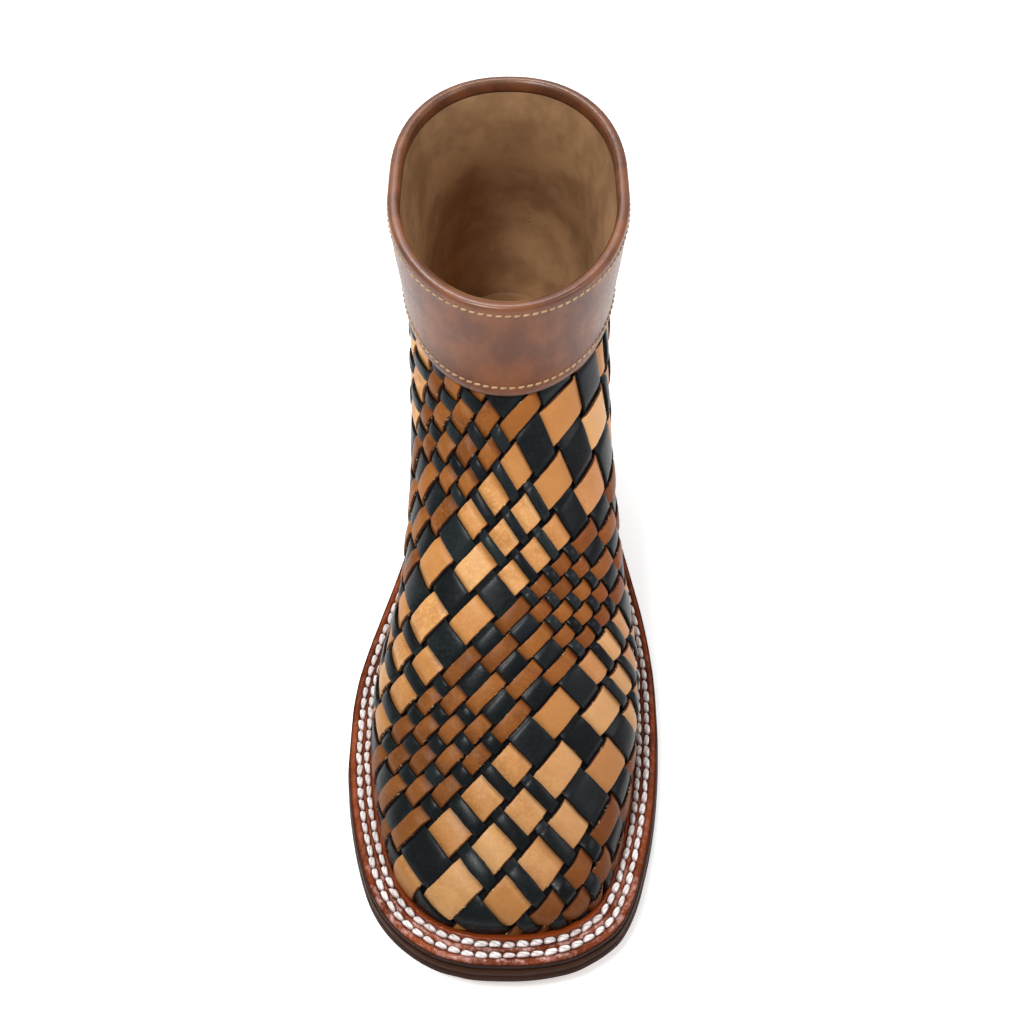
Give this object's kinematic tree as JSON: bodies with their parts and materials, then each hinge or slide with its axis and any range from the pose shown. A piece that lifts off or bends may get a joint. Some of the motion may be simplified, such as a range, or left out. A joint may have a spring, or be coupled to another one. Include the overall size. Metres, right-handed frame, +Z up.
{
  "type": "woven leather ankle boot",
  "caption": "Woven leather ankle boot for the left foot: stitched wide welt, layered leather sole, stacked heel, plain collar band, open hollow upper.",
  "frame": {"origin": "on the floor, in the middle of the boot's bounding box", "axes": "+Z up, +Y from toe to heel, +X from the medial to the lateral side"},
  "size_m": [0.1182, 0.304, 0.1575],
  "materials": {
    "sole_leather": "dark brown waxed sole leather, satin",
    "midsole_leather": "dark brown waxed sole leather, satin",
    "welt_leather": "reddish brown, glossy",
    "stacked_leather": "dark brown stacked leather, satin",
    "heel_rubber": "black, matt",
    "insole_leather": "natural tan, matt",
    "woven_leather": "tan, brown and black strips, semi-gloss",
    "plain_leather": "reddish brown, semi-gloss"
  },
  "bodies": {
    "root": {"outsole": "sole_leather", "midsole": "midsole_leather", "welt": "welt_leather", "heel": "stacked_leather", "heel_top_lift": "heel_rubber", "insole": "insole_leather", "upper": "woven_leather", "collar_band": "plain_leather", "backstay": "plain_leather"}
  },
  "joints": []
}
